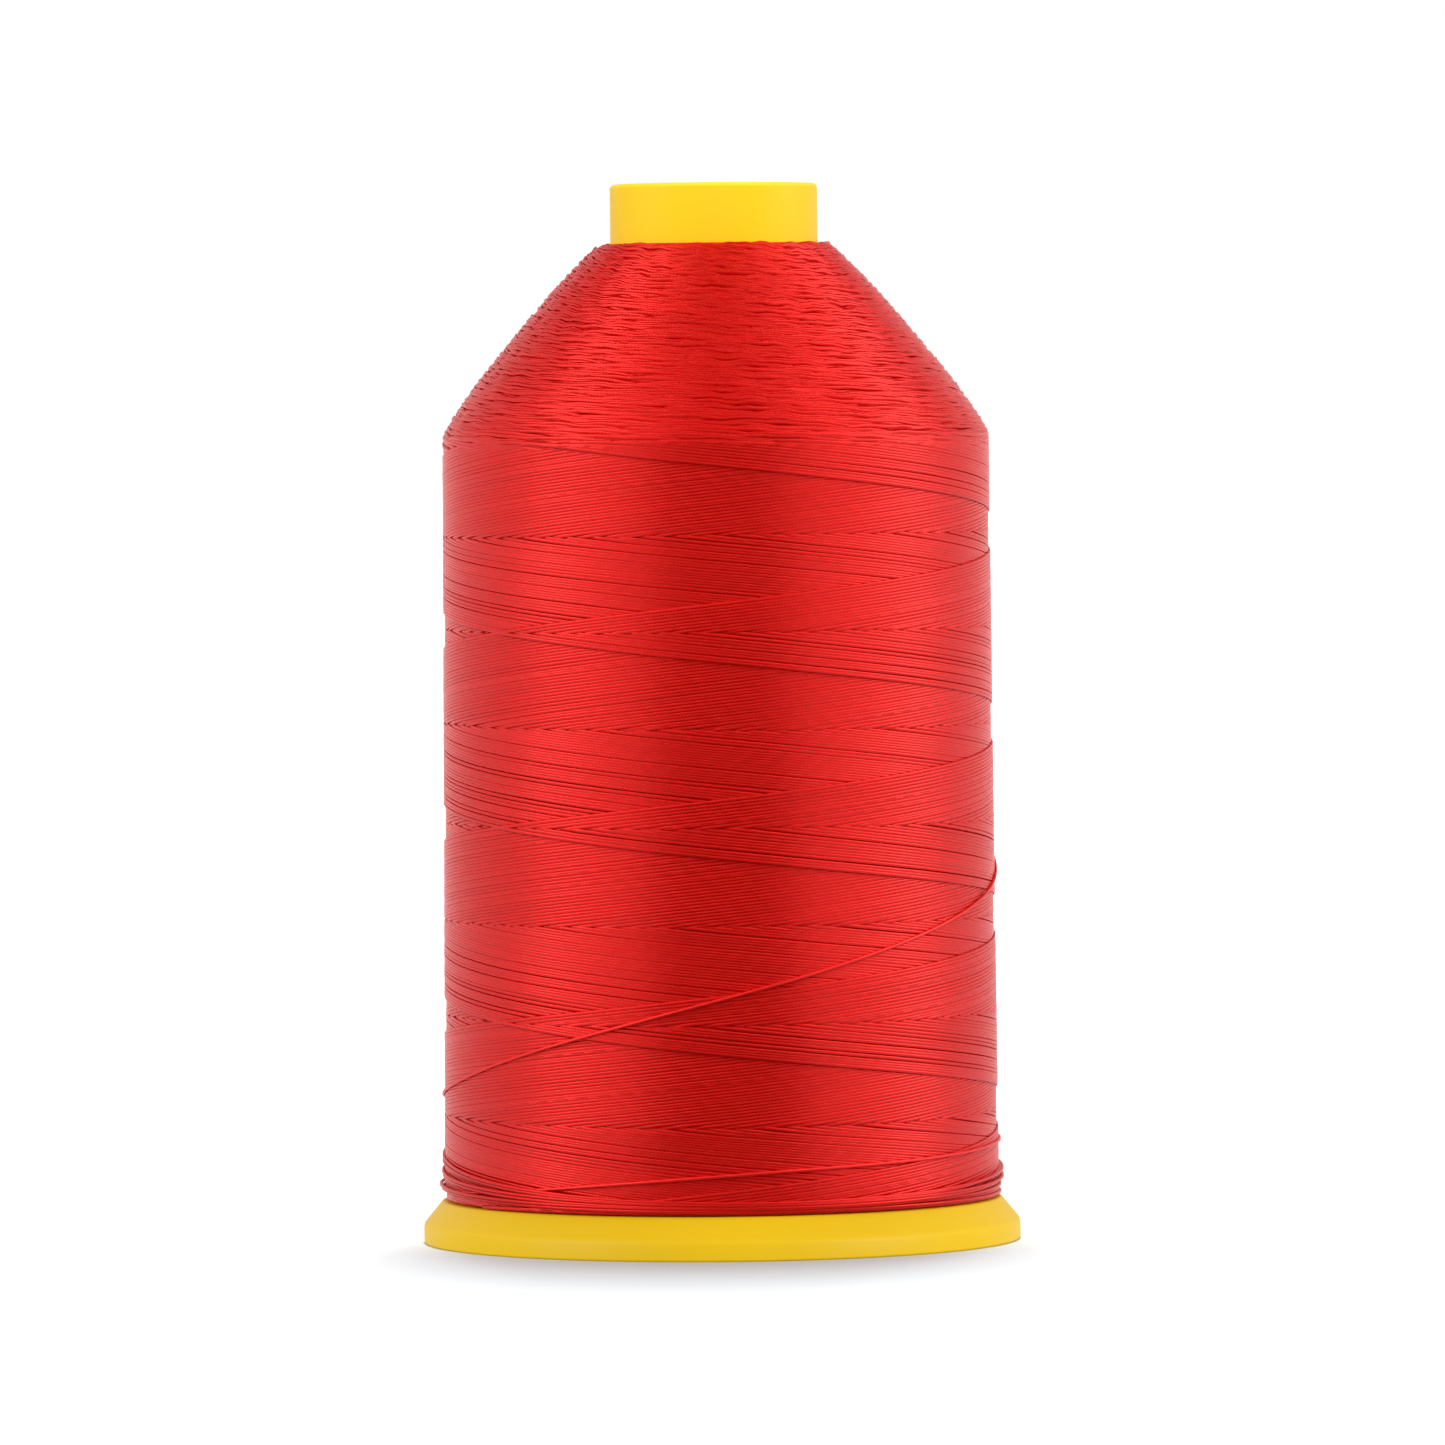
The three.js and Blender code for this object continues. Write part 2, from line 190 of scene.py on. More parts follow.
def thread_material(name, dark, light):
    """Lustrous twisted thread. The map "strand" holds the length along it and the way round."""
    material, tree, shader = new_material(name)
    strand = add_node(tree, "ShaderNodeUVMap", uv_map="strand")
    split = add_node(tree, "ShaderNodeSeparateXYZ")
    tree.links.new(strand.outputs["UV"], split.inputs["Vector"])
    along, around = split.outputs["X"], split.outputs["Y"]

    def sum_of(first, second):
        total = add_node(tree, "ShaderNodeMath", operation="ADD")
        link_all(tree, (first, total.inputs[0]), (second, total.inputs[1]))
        return total.outputs["Value"]

    def scaled(source, factor):
        product = add_node(tree, "ShaderNodeMath", operation="MULTIPLY")
        tree.links.new(source, product.inputs[0])
        product.inputs[1].default_value = factor
        return product.outputs["Value"]

    phase = scaled(sum_of(scaled(along, 1 / PLY_LAY), around), TAU * PLY_COUNT)
    wave = add_node(tree, "ShaderNodeMath", operation="COSINE")
    tree.links.new(phase, wave.inputs[0])

    def noise_along(length, detail):
        noise = add_node(tree, "ShaderNodeTexNoise", noise_dimensions="1D", Scale=1.0, Detail=detail)
        tree.links.new(scaled(along, 1 / length), noise.inputs["W"])
        return noise.outputs["Fac"]

    shade = scaled(noise_along(SHADE_LENGTH, 1.0), SHADE_SHARE)
    grain = scaled(noise_along(GRAIN_LENGTH, 2.0), GRAIN_SHARE)
    # The plies' wave marks the twist and makes the tone darker in the grooves between the plies:
    # painted shade, besides the bump.
    tone = sum_of(sum_of(shade, grain), scaled(wave.outputs["Value"], PLY_GROOVE_SHADE))
    colour = colour_ramp(tree, tone, [(0.15, dark), (0.7, light)])
    tree.links.new(colour, shader.inputs["Base Color"])
    bump = add_node(tree, "ShaderNodeBump", Strength=0.1, Distance=0.00004)
    tree.links.new(wave.outputs["Value"], bump.inputs["Height"])
    tree.links.new(bump.outputs["Normal"], shader.inputs["Normal"])
    set_inputs(shader, {
        "Metallic": 0.45,
        "Roughness": 0.33,
        "Specular IOR Level": 0.8,
        "Specular Tint": (1, 0.48, 0.46, 1),
    })
    return material


def core_material():
    """What shows between the threads of the outer layers: more thread, in shadow."""
    material, tree, shader = new_material("thread_under_layer")
    place = add_node(tree, "ShaderNodeTexCoord").outputs["Object"]
    mapping = add_node(tree, "ShaderNodeMapping")
    set_inputs(mapping, {"Scale": (60, 60, 3300)})
    tree.links.new(place, mapping.inputs["Vector"])
    layers = add_node(tree, "ShaderNodeTexNoise", Scale=1.0, Detail=1.0)
    tree.links.new(mapping.outputs["Vector"], layers.inputs["Vector"])
    colour = colour_ramp(tree, layers.outputs["Fac"], [
        (0.35, (0.50, 0.003, 0.002)),
        (0.65, (0.72, 0.004, 0.003)),
    ])
    tree.links.new(colour, shader.inputs["Base Color"])
    bump = add_node(tree, "ShaderNodeBump", Strength=0.8, Distance=0.0001)
    tree.links.new(layers.outputs["Fac"], bump.inputs["Height"])
    tree.links.new(bump.outputs["Normal"], shader.inputs["Normal"])
    set_inputs(shader, {"Roughness": 0.6, "Specular IOR Level": 0.2})
    return material


YELLOW = plastic_material()
RED = thread_material("red_thread", (0.51, 0.003, 0.001), (0.66, 0.003, 0.001))
# A lighter copy of the thread's material for the loose end: painted light, standing in for the light
# that its raised upper side catches.
LOOSE_RED_PAINTED_LIGHT = thread_material("loose_thread_painted_light", (0.64, 0.009, 0.006), (0.78, 0.012, 0.008))
UNDER = core_material()

# ---- Mesh building ----

SHARP_ANGLE = math.radians(40)
THREAD_SIDES = 6
BAKE_EDGES = 0.01, 0.04  # of a cell that stay free at each side, along and across the strand


def add_object(name, data):
    thing = bpy.data.objects.new(name, data)
    bpy.context.scene.collection.objects.link(thing)
    return thing


def add_piece(mesh, material):
    mesh.materials.append(material)
    piece = add_object(mesh.name, mesh)
    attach(piece, "root")
    return piece


def smooth_faces(mesh):
    mesh.polygons.foreach_set("use_smooth", np.ones(len(mesh.polygons), bool))
    mesh.set_sharp_from_angle(angle=SHARP_ANGLE)


def quarter_round(radius, height, rounding, from_quarter, steps=6):
    angles = math.pi / 2 * (from_quarter + np.arange(steps + 1) / steps)
    return [(radius + rounding * math.cos(a), height + rounding * math.sin(a)) for a in angles]


def lathe_mesh(name, outline, segments):
    """A closed outline of (radius, height), counter-clockwise, turned about the axis."""
    outline = np.array(outline, float)
    count = len(outline)
    azimuths = TAU * np.arange(segments) / segments
    vertices = np.empty((segments, count, 3))
    vertices[..., 0] = np.sin(azimuths)[:, None] * outline[:, 0]
    vertices[..., 1] = -np.cos(azimuths)[:, None] * outline[:, 0]
    vertices[..., 2] = outline[:, 1]
    here = np.arange(segments)[:, None] * count + np.arange(count)
    after = np.roll(here, -1, axis=0)
    faces = np.stack([here, after, np.roll(after, -1, 1), np.roll(here, -1, 1)], -1)
    mesh = bpy.data.meshes.new(name)
    mesh.from_pydata(vertices.reshape(-1, 3) * MM, [], faces.reshape(-1, 4).tolist())
    smooth_faces(mesh)
    return mesh


def strand_mesh(name, routes, cells, columns, width=TUBE_WIDTH, depth=TUBE_DEPTH):
    """Closed tubes along routes, an array of (route, point, xyz). On the map for baking, every
    route is cut into so many cells of equal steps, which fill a grid of so many columns."""
    routes = np.asarray(routes, float)
    count, points = routes.shape[:2]
    steps = points - 1
    sides = THREAD_SIDES
    tangents = np.gradient(routes, axis=1)
    tangents /= np.linalg.norm(tangents, axis=2, keepdims=True)
    outward = routes * (1, 1, 0)
    outward -= tangents * np.sum(outward * tangents, 2, keepdims=True)
    outward /= np.linalg.norm(outward, axis=2, keepdims=True)
    sideways = np.cross(tangents, outward)
    angles = TAU * (np.arange(sides) + 0.5)[:, None] / sides
    vertices = routes[:, :, None] + outward[:, :, None] * np.cos(angles) * depth / 2
    vertices += sideways[:, :, None] * np.sin(angles) * width / 2

    index = np.arange(count * points * sides).reshape(count, points, sides)
    here, after = index[:, :-1], index[:, 1:]
    quads = np.stack([here, np.roll(here, -1, 2), np.roll(after, -1, 2), after], -1)
    caps = np.concatenate([index[:, 0, ::-1], index[:, -1]])
    loops = np.concatenate([quads.ravel(), caps.ravel()])
    quad_count = quads.size // 4
    starts = np.concatenate([
        np.arange(quad_count) * 4,
        quad_count * 4 + np.arange(len(caps)) * sides,
    ])
    mesh = bpy.data.meshes.new(name)
    mesh.vertices.add(vertices.size // 3)
    mesh.vertices.foreach_set("co", (vertices * MM).ravel())
    mesh.loops.add(len(loops))
    mesh.loops.foreach_set("vertex_index", loops)
    mesh.polygons.add(len(starts))
    mesh.polygons.foreach_set("loop_start", starts)
    mesh.polygons.foreach_set("use_smooth", np.arange(len(starts)) < quad_count)
    mesh.update(calc_edges=True)

    lengths = np.linalg.norm(np.diff(routes, axis=1), axis=2)
    ends = np.cumsum(lengths).reshape(lengths.shape)
    step = np.arange(steps)
    cell = np.arange(count)[:, None] * cells + step * cells // steps
    share = (step * cells % steps)[None] / steps
    rows = -(-count * cells // columns)
    far = np.array([0, 0, 1, 1])
    turned_on = np.array([0, 1, 1, 0])
    side = (np.arange(sides)[:, None] + turned_on) / sides
    along = (ends - lengths)[..., None, None] + lengths[..., None, None] * far
    edge_u, edge_v = BAKE_EDGES
    room_u, room_v = 1 - 2 * edge_u, 1 - 2 * edge_v
    bake_u = (cell % columns + edge_u + room_u * share)[..., None, None]
    bake_u = bake_u + room_u * cells / steps * far
    bake_v = (cell // columns)[..., None, None] + edge_v + room_v * side
    shape = (count, steps, sides, 4)
    for map_name, u, v in (("strand", along, side), ("OFBake", bake_u / columns, bake_v / rows)):
        uv = np.stack([np.broadcast_to(u, shape), np.broadcast_to(v, shape)], -1)
        cap_uv = np.concatenate([uv[:, 0, ::-1, 0], uv[:, -1, :, 3]])
        layer = mesh.uv_layers.new(name=map_name, do_init=False)
        corners = np.concatenate([uv.reshape(-1, 2), cap_uv.reshape(-1, 2)])
        layer.uv.foreach_set("vector", corners.astype(np.float32).ravel())
    return mesh


# ---- Plastic spool ----

TUBE_SEGMENTS, FOOT_SEGMENTS = 256, 288
FOOT_ROUNDINGS = 0.25, 0.9, 0.5  # radii of the foot's outer edges, from the ground up


def make_barrel():
    top = SPOOL_HEIGHT - TUBE_EDGE_ROUNDING
    outline = [
        (BORE_RADIUS, LEDGE_TOP),
        (TUBE_RADIUS, LEDGE_TOP),
        (TUBE_RADIUS, PACKAGE_TOP),
        *quarter_round(TUBE_RADIUS - TUBE_EDGE_ROUNDING, top, TUBE_EDGE_ROUNDING, 0),
        *quarter_round(BORE_RADIUS + TUBE_EDGE_ROUNDING, top, TUBE_EDGE_ROUNDING, 1),
        (BORE_RADIUS, PACKAGE_TOP),
    ]
    mesh = lathe_mesh("spool_barrel", outline, TUBE_SEGMENTS)
    piece = add_piece(mesh, YELLOW)
    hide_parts("barrel")


def hollow_outline(wall):
    """The hollow under the foot, from the plate's underside to the rim, at a wall's distance."""
    bevel_height = FOOT_HEIGHT - RIM_HEIGHT
    bevel_length = math.hypot(BEVEL_INSET, bevel_height)
    rim_top = RIM_HEIGHT - wall * (bevel_length - bevel_height) / BEVEL_INSET
    ceiling = FOOT_HEIGHT - wall
    rim_radius = FOOT_RADIUS - wall
    return [
        (rim_radius - (ceiling - rim_top) * BEVEL_INSET / bevel_height, ceiling),
        (rim_radius, rim_top),
    ]


def rounded(outline, roundings, steps=5):
    """An open outline whose corners are rounded, with a radius for each corner."""
    made = [outline[0]]
    for before, corner, after, rounding in zip(outline, outline[1:], outline[2:], roundings):
        a, c, b = (np.array(p, float) for p in (before, corner, after))
        into = (a - c) / np.linalg.norm(a - c)
        out = (b - c) / np.linalg.norm(b - c)
        half = math.acos(np.clip(into @ out, -1, 1)) / 2
        reach = rounding / math.tan(half)
        centre = c + (into + out) / np.linalg.norm(into + out) * rounding / math.sin(half)
        start, end = c + into * reach - centre, c + out * reach - centre
        sweep = math.pi - 2 * half
        for step in range(steps + 1):
            share = step / steps
            mix = math.sin((1 - share) * sweep) * start + math.sin(share * sweep) * end
            made.append(tuple(centre + mix / math.sin(sweep)))
    return [*made, outline[-1]]


def rib_mesh(name, index):
    root = FOOT_WALL / 2
    inner = (SOCKET_RADIUS + SOCKET_OUTER_RADIUS) / 2
    outline = [
        (inner, UNDERSIDE_RECESS),
        (FOOT_RADIUS - root, UNDERSIDE_RECESS),
        *reversed(hollow_outline(root)),
        (inner, FOOT_HEIGHT - root),
    ]
    turn = Matrix.Rotation(TAU * index / RIB_COUNT, 3, "Z")
    vertices = []
    for side in (-RIB_THICKNESS / 2, RIB_THICKNESS / 2):
        vertices += [turn @ Vector((radius, side, height)) * MM for radius, height in outline]
    count = len(outline)
    faces = [tuple(range(count)), tuple(reversed(range(count, 2 * count)))]
    for corner in range(count):
        after = (corner + 1) % count
        faces.append((corner, corner + count, after + count, after))
    mesh = bpy.data.meshes.new(name)
    mesh.from_pydata(vertices, [], faces)
    return mesh


def make_foot():
    outer = [
        (FOOT_RADIUS - FOOT_WALL, 0),
        (FOOT_RADIUS, 0),
        (FOOT_RADIUS, RIM_HEIGHT),
        (FOOT_RADIUS - BEVEL_INSET, FOOT_HEIGHT),
        (SOCKET_RADIUS, FOOT_HEIGHT),
    ]
    outline = [
        (BORE_RADIUS, UNDERSIDE_RECESS),
        (SOCKET_OUTER_RADIUS, UNDERSIDE_RECESS),
        (SOCKET_OUTER_RADIUS, FOOT_HEIGHT - FOOT_WALL),
        *hollow_outline(FOOT_WALL),
        *rounded(outer, FOOT_ROUNDINGS),
        (SOCKET_RADIUS, LEDGE_TOP),
        (BORE_RADIUS, LEDGE_TOP),
    ]
    mesh = lathe_mesh("spool_foot", outline, FOOT_SEGMENTS)
    piece = add_piece(mesh, YELLOW)
    bpy.context.view_layer.objects.active = piece
    for index in range(RIB_COUNT):
        rib = add_object(f"rib_{index}", rib_mesh(f"rib_{index}", index))
        union = piece.modifiers.new("union", "BOOLEAN")
        union.operation = "UNION"
        union.solver = "EXACT"
        union.object = rib
        bpy.ops.object.modifier_apply(modifier="union")
        bpy.data.objects.remove(rib)
    smooth_faces(piece.data)
    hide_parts("foot_flange")


make_barrel()
make_foot()

# ---- Thread core ----

CORE_SEGMENTS = 192
CORE_CONE_ROWS = 24
CORE_GAP = 0.05  # to the tube and to the foot
CORE_TOP_GAP = 0.3  # to the package's top
CORE_DEPTHS = 0.52, 0.26  # under the surface of the body and of the cone
CORE_STEP = 1.2  # height under the shoulder in which the one becomes the other


def make_core():
    """The layers under the outermost ones, as one solid that shows between their threads."""
    inner = TUBE_RADIUS + CORE_GAP
    bottom = FOOT_HEIGHT + CORE_GAP
    top = PACKAGE_TOP - CORE_TOP_GAP
    step = [SHOULDER_HEIGHT - CORE_STEP, SHOULDER_HEIGHT]
    cone = np.linspace(SHOULDER_HEIGHT, top, CORE_CONE_ROWS)
    heights = np.concatenate([[bottom, step[0]], cone])
    depths = np.interp(heights, step, CORE_DEPTHS)
    outline = [(inner, bottom), *zip(package_radius(heights, depths), heights), (inner, top)]
    mesh = lathe_mesh("thread_core", outline, CORE_SEGMENTS)
    piece = add_piece(mesh, UNDER)
    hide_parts("thread_package")


# ---- Body winding ----

RANDOM_SEED = 7
GAP_HEIGHTS = np.arange(-1, 17) * (LEAD / 3)  # at which the gaps between the threads are drawn
GAP_SPREAD = 0.012  # by which all of them vary
WIDE_SHARES = 0.32, 0.18  # of the rising and of the falling strokes' gaps
WIDE_GAP = 0.15  # that these are wider than the others
WIDE_FADE = 0.05  # range of the draw in which a gap widens to that
WANDER_FADE = 1.2  # azimuth from a turning point over which the gaps come to vary in full
TURN_MARGIN = 0.03  # azimuth by which a stroke's even points stay clear of its turning points
NEWEST_RAISE = 0.5  # layers that the newest stroke lies over the package's surface
AGE_DEPTH = 2  # layers that the strokes lie deeper with age, from the newest to the oldest
CROSSING_HALF = 0.075  # half the height in which a thread climbs over its twin
FOOT_ROUNDING = 0.66  # half the azimuth in which a stroke turns round at the foot
TOP_ROUNDINGS = 0.2, 0.55  # and at the top, from the least to the most
BODY_POINTS = 290  # evenly along a stroke, beside those at the crossings
BODY_CELLS = 8  # of the map for baking, for a pair of strokes
BODY_PIECES = 8

rng = np.random.default_rng(RANDOM_SEED)


def wander(wide_share):
    """How far each stroke lies off its even place, by stroke and height: gaps vary along it."""
    wide = rng.random((STROKES, len(GAP_HEIGHTS)))
    wide = (wide + np.roll(wide, 1, 1)) / 2
    limit = np.quantile(wide, 1 - wide_share)
    gaps = WIDE_GAP * np.clip((wide - limit) / WIDE_FADE, 0, 1)
    gaps += rng.normal(0, GAP_SPREAD, wide.shape)
    gaps -= gaps.mean(axis=0)
    offsets = np.concatenate([np.zeros((1, len(GAP_HEIGHTS))), np.cumsum(gaps, axis=0)])
    return lambda age, height: np.interp(height, GAP_HEIGHTS, offsets[age])


def sawtooth(count, rising):
    """Share of a layer by which a stroke is pressed in, at each limit from the foot up."""
    low = np.arange(count) % 2 == 0
    return np.where(low if rising else ~low, 1.0, 0.0)


def rounding_drop(distance, half):
    """Azimuth by which a turning point, rounded so far to each side, falls short of a sharp one."""
    inside = np.clip(distance, 0, half)
    return (half - inside) ** 2 / (2 * half)


def body_route():
    """Azimuth, height and radius of the strand that covers the body, from the oldest stroke on.

    A stroke rises or falls evenly between turning points, its azimuth always falling. The older
    it is, the deeper it lies. Each newer stroke that crosses it presses it a little further in,
    and it comes out again where it crosses its twin. The turning points at the foot are half a
    thread low, so that each pair of strokes ends where the next one starts."""
    rising_wander, falling_wander = (wander(share) for share in WIDE_SHARES)
    planes = CROSSING + CROSSING_PITCH * np.arange(1 - CROSSINGS_BELOW, CROSSINGS_ABOVE)
    top_roundings = rng.uniform(*TOP_ROUNDINGS, STROKES)
    low_turn = FOOT_TURN - THREAD / 2
    parts = []
    for age in range(STROKES - 1, -1, -1):
        pair_start = -STROKE_TURNS * LEAD / RISE * 2 * (STROKES - 1 - age)
        foot_azimuth = (UP_START + THREAD * age - low_turn) / RISE + pair_start
        top_azimuth = (UP_START + THREAD * age - TOP_TURN) / RISE + pair_start
        next_foot = top_azimuth - (TOP_TURN - low_turn) / RISE
        knots = planes + (rising_wander(age, planes) - falling_wander(age, planes)) / 2
        limits = np.stack([knots - CROSSING_HALF, knots + CROSSING_HALF], 1).ravel()
        aside = (TOP_TURN - limits) / RISE
        limits = np.concatenate([[FOOT_TURN], limits, [TOP_TURN]])
        for rising in (True, False):
            start, end = (foot_azimuth, top_azimuth) if rising else (top_azimuth, next_foot)
            even = np.linspace(start - TURN_MARGIN, end + TURN_MARGIN, BODY_POINTS)
            at_limits = top_azimuth + aside if rising else top_azimuth - aside
            azimuths = np.sort(np.concatenate([even, at_limits]))[::-1]
            from_top = np.abs(azimuths - top_azimuth)
            from_foot = np.minimum(np.abs(azimuths - foot_azimuth), np.abs(azimuths - next_foot))
            heights = TOP_TURN - RISE * from_top
            heights -= RISE * rounding_drop(from_top, top_roundings[age])
            heights += RISE * rounding_drop(from_foot, FOOT_ROUNDING)
            fade = np.clip(np.minimum(from_top, from_foot) / WANDER_FADE, 0, 1)
            off = rising_wander if rising else falling_wander
            heights += fade * off(age, heights)
            under = np.interp(heights, limits, sawtooth(len(limits), rising))
            layers = NEWEST_RAISE - AGE_DEPTH * age / STROKES - under
            parts.append(np.stack([azimuths, heights, package_radius(heights) + LAYER * layers]))
    return np.concatenate(parts, axis=1)


# Outer radius of what is laid so far, by azimuth and height
GRID_AZIMUTHS = 720
GRID_HEIGHT = 0.05
surface = np.zeros((GRID_AZIMUTHS, int(PACKAGE_TOP / GRID_HEIGHT)))


def surface_cells(azimuths, heights, aside):
    """Cells of that grid, so many cells above a route."""
    column = np.round(azimuths / TAU * GRID_AZIMUTHS).astype(int) % GRID_AZIMUTHS
    row = np.round(heights / GRID_HEIGHT).astype(int) + aside
    return column, np.clip(row, 0, surface.shape[1] - 1)


def lay(azimuths, heights, radii, width=TUBE_WIDTH, depth=TUBE_DEPTH):
    """Enter a thread into the grid."""
    reach = int(width / 2 / GRID_HEIGHT)
    for aside in range(-reach, reach + 1):
        top = radii + depth / 2 * math.sqrt(1 - (aside / (reach + 1)) ** 2)
        np.maximum.at(surface, surface_cells(azimuths, heights, aside), top)


def on_package(azimuths, heights, radii):
    return np.stack([radii * np.sin(azimuths), -radii * np.cos(azimuths), heights], -1)


def make_body_winding():
    azimuths, heights, radii = body_route()
    fine = np.arange(azimuths[0], azimuths[-1], -TAU / GRID_AZIMUTHS)
    order = slice(None, None, -1)
    lay(fine, *(np.interp(fine[order], azimuths[order], v[order])[order] for v in (heights, radii)))
    route = on_package(azimuths, heights, radii)
    # One more point, so that the last pair of strokes has as many steps as the others
    route = np.concatenate([route, 2 * route[-1:] - route[-2:-1]])
    pair_steps = (len(route) - 1) // STROKES
    bounds = np.linspace(0, STROKES, BODY_PIECES + 1).astype(int)
    for number, (first, last) in enumerate(zip(bounds, bounds[1:]), 1):
        part = route[first * pair_steps : last * pair_steps + 1]
        mesh = strand_mesh(f"body_winding_{number}", part[None], BODY_CELLS * (last - first), 1)
        add_piece(mesh, RED)
    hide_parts("thread_outer_winding")


# ---- Cone winding ----

CONE_RISE = 0.635  # height from one round of turning points to the next older one
CONE_ROUNDING = 0.42  # half the azimuth in which an arc turns round
CONE_TOP_GAP = 0.17  # from the oldest turning point to the package's top
CONE_TOP_LIMIT = 0.12  # and from the middle of any thread
APEX_SPREADS = 0.05, 0.1  # of the turning points' azimuths and heights
CONE_FROM, CONE_TO = -0.2, 0.7  # how much of an arc is made, from its turning point
CONE_TUCK = 0.15  # at each end, in which it goes in under the others
CONE_TUCK_DEPTH = 0.4
CONE_POINTS = 25
CONE_SINK = 0.4  # how deep an arc comes to lie as it falls, as a share of the cone's slope
CONE_DEPTH = 0.75  # threads that an arc starts under the package's surface
CONE_CLIMB = 0.5  # threads that it then rises, at its turning point
CONE_CLIMB_HALF = 0.06  # half the azimuth in which it does
CONE_RELIEF = -0.065, 0.035  # range in which the arcs' radii vary
CONE_WAVE = 0.045  # by which their heights vary together
CONE_WAVE_SEED = 11
CONE_PIECES = 4
CONE_COLUMNS = 8
WAVE_COUNT = 14
WAVES_ROUND = 10, 46  # periods of a wave round the cone, from the first number to below the second
WAVE_SLANT = 2.5  # the most that a wave's phase changes in a millimetre of height, in radians


def coherent_noise(azimuths, heights, seed):
    """Smooth noise over the cone: a sum of waves that close round it, of mean square 1."""
    draw = np.random.default_rng(seed)
    total = np.zeros(np.broadcast(azimuths, heights).shape)
    for _ in range(WAVE_COUNT):
        waves = draw.integers(*WAVES_ROUND)
        slant = draw.uniform(-WAVE_SLANT, WAVE_SLANT)
        phase = draw.uniform(0, TAU)
        total += np.sin(waves * azimuths + heights * slant + phase)
    return total / math.sqrt(WAVE_COUNT / 2)


def make_cone_winding():
    """The ends of the older strokes, each of which turned round a little under the one before."""
    lowest = TOP_TURN - RISE * TOP_ROUNDINGS[0]
    count = int((PACKAGE_TOP - CONE_TOP_GAP - lowest) / CONE_RISE * STROKES)
    number = np.arange(count)
    azimuth_spread, height_spread = APEX_SPREADS
    apex_azimuth = TOP_AZIMUTH + TURN_STEP * (number + STROKES)
    apex_azimuth += rng.normal(0, azimuth_spread, count)
    apex = lowest + CONE_RISE * number / STROKES + rng.normal(0, height_spread, count)
    offset = np.linspace(CONE_FROM, CONE_TO, CONE_POINTS)
    azimuths = apex_azimuth[:, None] + offset
    distance = np.abs(offset)
    drop = RISE * (distance + rounding_drop(distance, CONE_ROUNDING) - CONE_ROUNDING / 2)
    heights = apex[:, None] - drop
    heights += CONE_WAVE * coherent_noise(azimuths, heights, CONE_WAVE_SEED)
    heights = np.minimum(heights, PACKAGE_TOP - CONE_TOP_LIMIT)
    climb = np.clip((offset + CONE_CLIMB_HALF) / (2 * CONE_CLIMB_HALF), 0, 1)
    at_apex, here = package_radius(apex)[:, None], package_radius(heights)
    radii = lerp(here, at_apex, CONE_SINK) + THREAD * (CONE_CLIMB * climb - CONE_DEPTH)
    radii += rng.uniform(*CONE_RELIEF, count)[:, None]
    near_end = np.maximum(CONE_FROM + CONE_TUCK - offset, offset + CONE_TUCK - CONE_TO)
    radii -= CONE_TUCK_DEPTH * np.clip(near_end / CONE_TUCK, 0, 1) ** 2
    routes = on_package(azimuths, heights, radii)
    bounds = np.linspace(0, count, CONE_PIECES + 1).astype(int)
    for number, (first, last) in enumerate(zip(bounds, bounds[1:]), 1):
        mesh = strand_mesh(f"cone_winding_{number}", routes[first:last], 1, CONE_COLUMNS)
        add_piece(mesh, RED)


make_core()
make_body_winding()
make_cone_winding()

# ---- Loose end and foot turns ----

# Azimuths, in degrees, and heights that the loose end passes through
LOOSE_KNOTS = [
    (150, 46), (90, 36.3), (-90, 13.8), (-272, 9.8), (-365, 8.2), (-393, 6.6), (-440, 5.1),
]
LOOSE_STEP = 2  # degrees
LOOSE_ROUNDING = 15  # of the bends between the knots, in steps to each side
LOOSE_SPAN = 4  # steps to each side that it bridges
LOOSE_TUCK_STEPS = 5  # at its start, in which it comes out from under the others
LOOSE_TUCK = 0.12  # by so much a step
LOOSE_CELLS = 4
FOOT_TURNS = 7
FOOT_TURN_LOW = 4.55, 5.6  # heights that the turns keep at the front
FOOT_TURN_CLIMB = 0.3, 5.2  # and how much higher they get behind
FOOT_TURN_SPREADS = 0.1, 0.3  # the most that chance adds to or takes from these
FOOT_TURN_ASIDE = 0.5  # how far to a side of the back their highest place may be, in radians
FOOT_TURN_START = 0.12  # azimuth at which one turn passes into the next
FOOT_TURN_STEPS = 144
FOOT_TURN_SPAN = 3  # steps to each side that the turns bridge
FOOT_TURN_LIMIT = 0.42  # radius of the turns beyond that of the package
FOOT_TURN_SMOOTHING = 4  # of their radii, in steps to each side
FOOT_TURN_CELLS = 2  # for each of them


def windows(values, span):
    """For each value, those up to so many places before and after it."""
    padded = np.pad(values, span, mode="edge")
    return np.lib.stride_tricks.sliding_window_view(padded, 2 * span + 1)


def moving_mean(values, span):
    """Means over so many places to each side, where there are as many."""
    width = 2 * span + 1
    return np.convolve(values, np.ones(width) / width, "valid")


def resting_radii(azimuths, heights, span):
    """Radii of a loose thread stretched over what lies under it."""
    reach = int(LOOSE_WIDTH / 2 / GRID_HEIGHT)
    under = [surface[surface_cells(azimuths, heights, a)] for a in range(-reach, reach + 1)]
    highest = windows(np.max(under, axis=0), span).max(axis=1)
    return windows(highest, span).mean(axis=1) + LOOSE_DEPTH * LOOSE_REST


